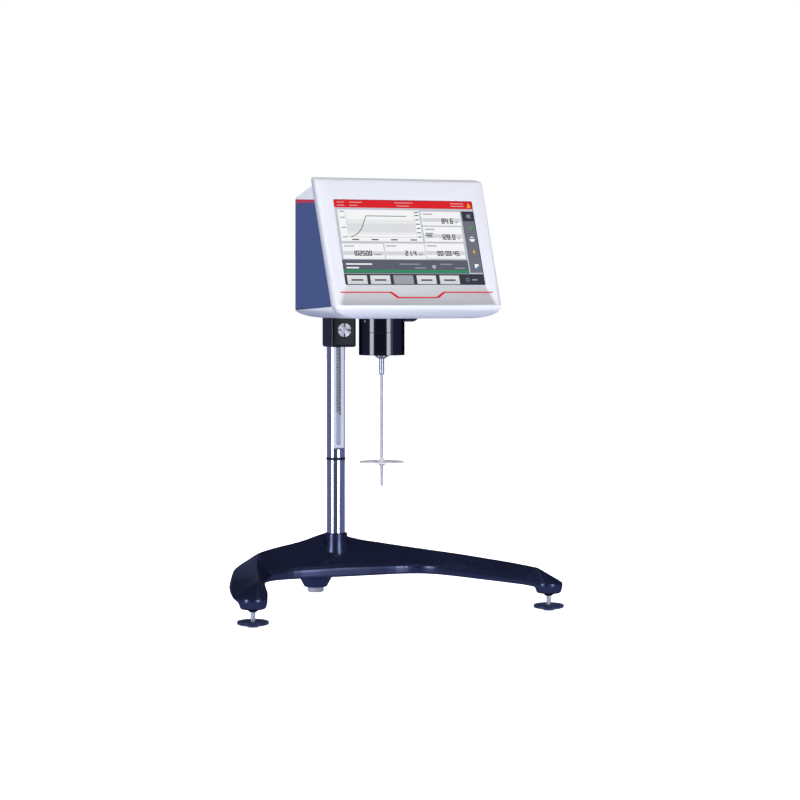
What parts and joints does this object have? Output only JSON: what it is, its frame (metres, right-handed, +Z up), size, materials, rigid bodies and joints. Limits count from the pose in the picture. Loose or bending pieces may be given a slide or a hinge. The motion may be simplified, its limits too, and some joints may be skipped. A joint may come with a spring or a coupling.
{
  "type": "rotational viscometer",
  "caption": "Bench rotational viscometer: tilted touch-screen head raised by rack and pinion on a chromed column, disc spindle below, cast base with levelling feet.",
  "frame": {"origin": "on the bench, below the middle of the outline's plan", "axes": "+Z up along the column; -Y towards the side that the screen faces; +X to the right of someone facing the screen"},
  "size_m": [0.3682, 0.3038, 0.4509],
  "materials": {
    "base_paint": "satin",
    "black_paint": "satin",
    "gloss_black": "gloss",
    "column_chrome": "polished",
    "dark_steel": "machined",
    "bright_steel": "ground",
    "spindle_steel": "polished",
    "screw_steel": "plated",
    "cast_aluminium": "matt",
    "brass": "machined",
    "clear_rubber": "translucent",
    "black_plastic": "satin",
    "white_shell": "gloss",
    "blue_panel": "gloss",
    "red_trim": "gloss",
    "screen_glass": "gloss",
    "board_green": "satin",
    "socket_metal": "plated"
  },
  "bodies": {
    "stand": {"base_casting": "base_paint", "foot_inserts": "black_plastic", "rear_pad": "clear_rubber", "column": "column_chrome", "rack": "dark_steel", "stop_ring": "black_plastic", "column_bolt": "screw_steel", "column_washer": "screw_steel", "column_cap": "black_plastic"},
    "foot_left": {"leveling_screw_left": "bright_steel"},
    "foot_right": {"leveling_screw_right": "bright_steel"},
    "wheel_left": {"leveling_wheel_left": "black_plastic"},
    "wheel_right": {"leveling_wheel_right": "black_plastic"},
    "carriage": {"clamp_block": "black_paint", "guide_bushes": "brass", "shaft_bushes": "brass", "tension_pad": "brass", "rod_clamp_screw": "screw_steel", "mounting_rod": "bright_steel", "rod_screw": "screw_steel", "chassis": "cast_aluminium", "guard_collar": "gloss_black", "collar_screws": "bright_steel", "coupling_housing": "gloss_black", "pivot_bearings": "bright_steel", "motor_mount": "cast_aluminium", "motor_screws": "screw_steel", "motor": "black_paint", "encoder_sensor": "black_plastic", "rear_housing": "white_shell", "front_bezel": "white_shell", "side_panel_left": "blue_panel", "side_panel_right": "blue_panel", "side_stripes": "red_trim", "touch_glass": "screen_glass", "display_panel": "black_plastic", "display_frame": "cast_aluminium", "frame_screws": "screw_steel", "main_board": "board_green", "bezel_screws": "screw_steel", "connector_plate": "black_plastic", "power_jack": "black_plastic", "usb_sockets": "socket_metal", "network_socket": "socket_metal", "switch_body": "bright_steel"},
    "tension": {"tension_screw": "screw_steel"},
    "height_drive": {"pinion": "dark_steel", "pinion_shaft": "bright_steel", "height_knob": "black_plastic", "shaft_clip": "screw_steel"},
    "drive": {"motor_shaft": "bright_steel", "spring_carrier": "cast_aluminium"},
    "rotor": {"pivot_shaft": "bright_steel", "encoder_disc": "black_plastic", "measuring_spring": "screw_steel", "spindle_coupling": "spindle_steel", "spindle_rod": "spindle_steel", "spindle_disc": "spindle_steel"},
    "power_switch": {"power_button": "black_plastic"}
  },
  "joints": [
    {"name": "head_slide", "type": "slide", "parent": "stand", "child": "carriage", "axis": [0, 0, 1], "range_m": [-0.115, 0.052]},
    {"name": "knob_turn", "type": "hinge", "parent": "carriage", "child": "height_drive", "pos_m": [0, 0.06042, 0.322], "axis": [1, 0, 0], "range_deg": [-500, 1102]},
    {"name": "tension_turn", "type": "hinge", "parent": "carriage", "child": "tension", "pos_m": [0, 0.04952, 0.2934], "axis": [0, 1, 0], "range_deg": [-180, 180]},
    {"name": "spindle_spin", "type": "hinge", "parent": "carriage", "child": "rotor", "pos_m": [0, -0.05398, 0.1567], "axis": [0, 0, 1], "continuous": true},
    {"name": "drive_spin", "type": "hinge", "parent": "carriage", "child": "drive", "pos_m": [0, -0.05398, 0.349], "axis": [0, 0, 1], "continuous": true},
    {"name": "power_press", "type": "slide", "parent": "carriage", "child": "power_switch", "axis": [0, -1, 0], "range_m": [0, 0.0015], "stiffness_N_per_m": 300},
    {"name": "foot_left_slide", "type": "slide", "parent": "stand", "child": "foot_left", "axis": [0, 0, 1], "range_m": [-0.004, 0.004]},
    {"name": "wheel_left_turn", "type": "hinge", "parent": "foot_left", "child": "wheel_left", "pos_m": [-0.1656, -0.11398, 0.004], "axis": [0, 0, 1], "range_deg": [-1800, 1800]},
    {"name": "foot_right_slide", "type": "slide", "parent": "stand", "child": "foot_right", "axis": [0, 0, 1], "range_m": [-0.004, 0.004]},
    {"name": "wheel_right_turn", "type": "hinge", "parent": "foot_right", "child": "wheel_right", "pos_m": [0.1656, -0.11398, 0.004], "axis": [0, 0, 1], "range_deg": [-1800, 1800]}
  ],
  "couplings": [
    {"joint": "knob_turn", "follows": "head_slide", "rad_per_m": -166.67},
    {"joint": "drive_spin", "follows": "spindle_spin", "ratio": 1},
    {"joint": "foot_left_slide", "follows": "wheel_left_turn", "m_per_rad": 0.00012732},
    {"joint": "foot_right_slide", "follows": "wheel_right_turn", "m_per_rad": 0.00012732}
  ]
}
